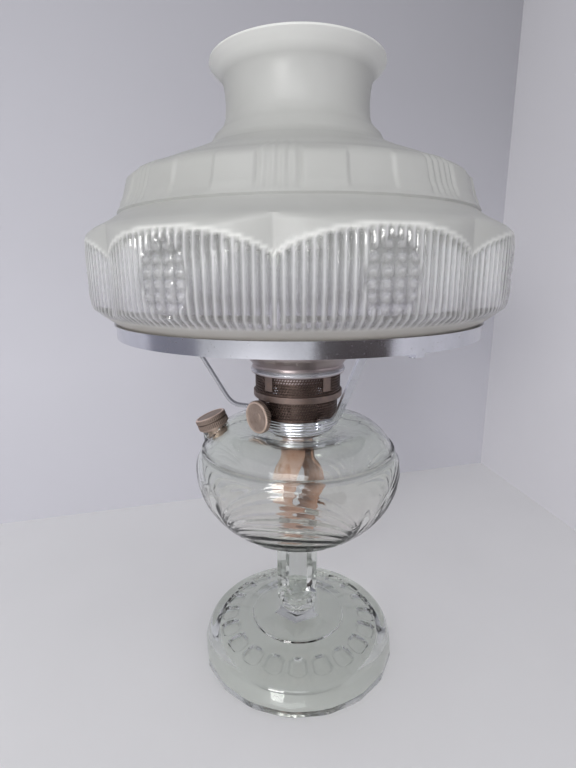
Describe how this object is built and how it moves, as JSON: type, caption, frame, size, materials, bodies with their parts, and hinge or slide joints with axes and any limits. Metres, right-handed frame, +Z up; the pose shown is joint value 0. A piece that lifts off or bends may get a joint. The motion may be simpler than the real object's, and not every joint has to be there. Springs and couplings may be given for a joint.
{
  "type": "kerosene lamp",
  "caption": "Kerosene table lamp with a pressed-glass pedestal and bowl, a round-wick burner with side knob, and a frosted lobed glass shade on a tripod ring.",
  "frame": {"origin": "centre of the foot's underside, on the lamp's axis", "axes": "+Z up along the lamp's axis, -Y towards the front, +X to the viewer's right"},
  "size_m": [0.2868, 0.2868, 0.4544],
  "materials": {
    "clear_glass": "clear pressed glass with a faint green tint",
    "frosted_glass": "satin frosted pressed glass with clear ribbed panels",
    "bright_plating": "bright plated, lightly worn",
    "dark_bronze": "dark aged bronze finish",
    "aged_brass": "dull aged brass",
    "spreader_steel": "heat-dulled",
    "wick_cotton": "woven cotton, stained by oil",
    "gasket_cork": "matt",
    "plaster": "matt white plaster"
  },
  "bodies": {
    "lamp": {"pedestal": "clear_glass", "font_bowl": "clear_glass", "collar": "bright_plating", "collar_plaster": "plaster", "filler_neck": "aged_brass", "tripod_base_ring": "bright_plating", "tripod_leg_left": "bright_plating", "tripod_leg_right": "bright_plating", "tripod_leg_rear": "bright_plating", "leg_rivets": "bright_plating", "shade_ring": "bright_plating", "ring_rivets": "bright_plating", "burner_base": "dark_bronze", "lower_basket": "dark_bronze", "basket_band": "dark_bronze", "upper_basket": "dark_bronze", "wick_outer_tube": "aged_brass", "wick_inner_tube": "aged_brass", "air_ducts": "aged_brass", "shaft_bushing": "aged_brass", "packing_nut": "aged_brass"},
    "wick_assembly": {"wick": "wick_cotton", "wick_carrier": "aged_brass", "wick_rack": "aged_brass"},
    "knob_assembly": {"knob": "aged_brass", "knob_shaft": "aged_brass", "pinion": "aged_brass"},
    "gallery_assembly": {"gallery": "dark_bronze", "gallery_lugs": "aged_brass", "gallery_deck": "dark_bronze", "chimney_prongs": "dark_bronze"},
    "spreader": {"flame_spreader": "spreader_steel"},
    "cap": {"filler_cap": "aged_brass", "cap_gasket": "gasket_cork"},
    "shade": {"shade": "frosted_glass"}
  },
  "joints": [
    {"name": "knob_turn", "type": "hinge", "parent": "lamp", "child": "knob_assembly", "pos_m": [-0.02, -0.02, 0.2142], "axis": [-0.7071, -0.7071, 0], "range_deg": [0, 269]},
    {"name": "wick_lift", "type": "slide", "parent": "lamp", "child": "wick_assembly", "axis": [0, 0, 1], "range_m": [0, 0.0141]},
    {"name": "gallery_lift", "type": "slide", "parent": "lamp", "child": "gallery_assembly", "axis": [0, 0, 1], "range_m": [0, 0.03]},
    {"name": "spreader_lift", "type": "slide", "parent": "lamp", "child": "spreader", "axis": [0, 0, 1], "range_m": [0, 0.02]},
    {"name": "cap_lift", "type": "slide", "parent": "lamp", "child": "cap", "axis": [-0.3746, 0, 0.9272], "range_m": [0, 0.018]},
    {"name": "shade_lift", "type": "slide", "parent": "lamp", "child": "shade", "axis": [0, 0, 1], "range_m": [0, 0.06]}
  ],
  "couplings": [
    {"joint": "wick_lift", "follows": "knob_turn", "m_per_rad": 0.003}
  ]
}
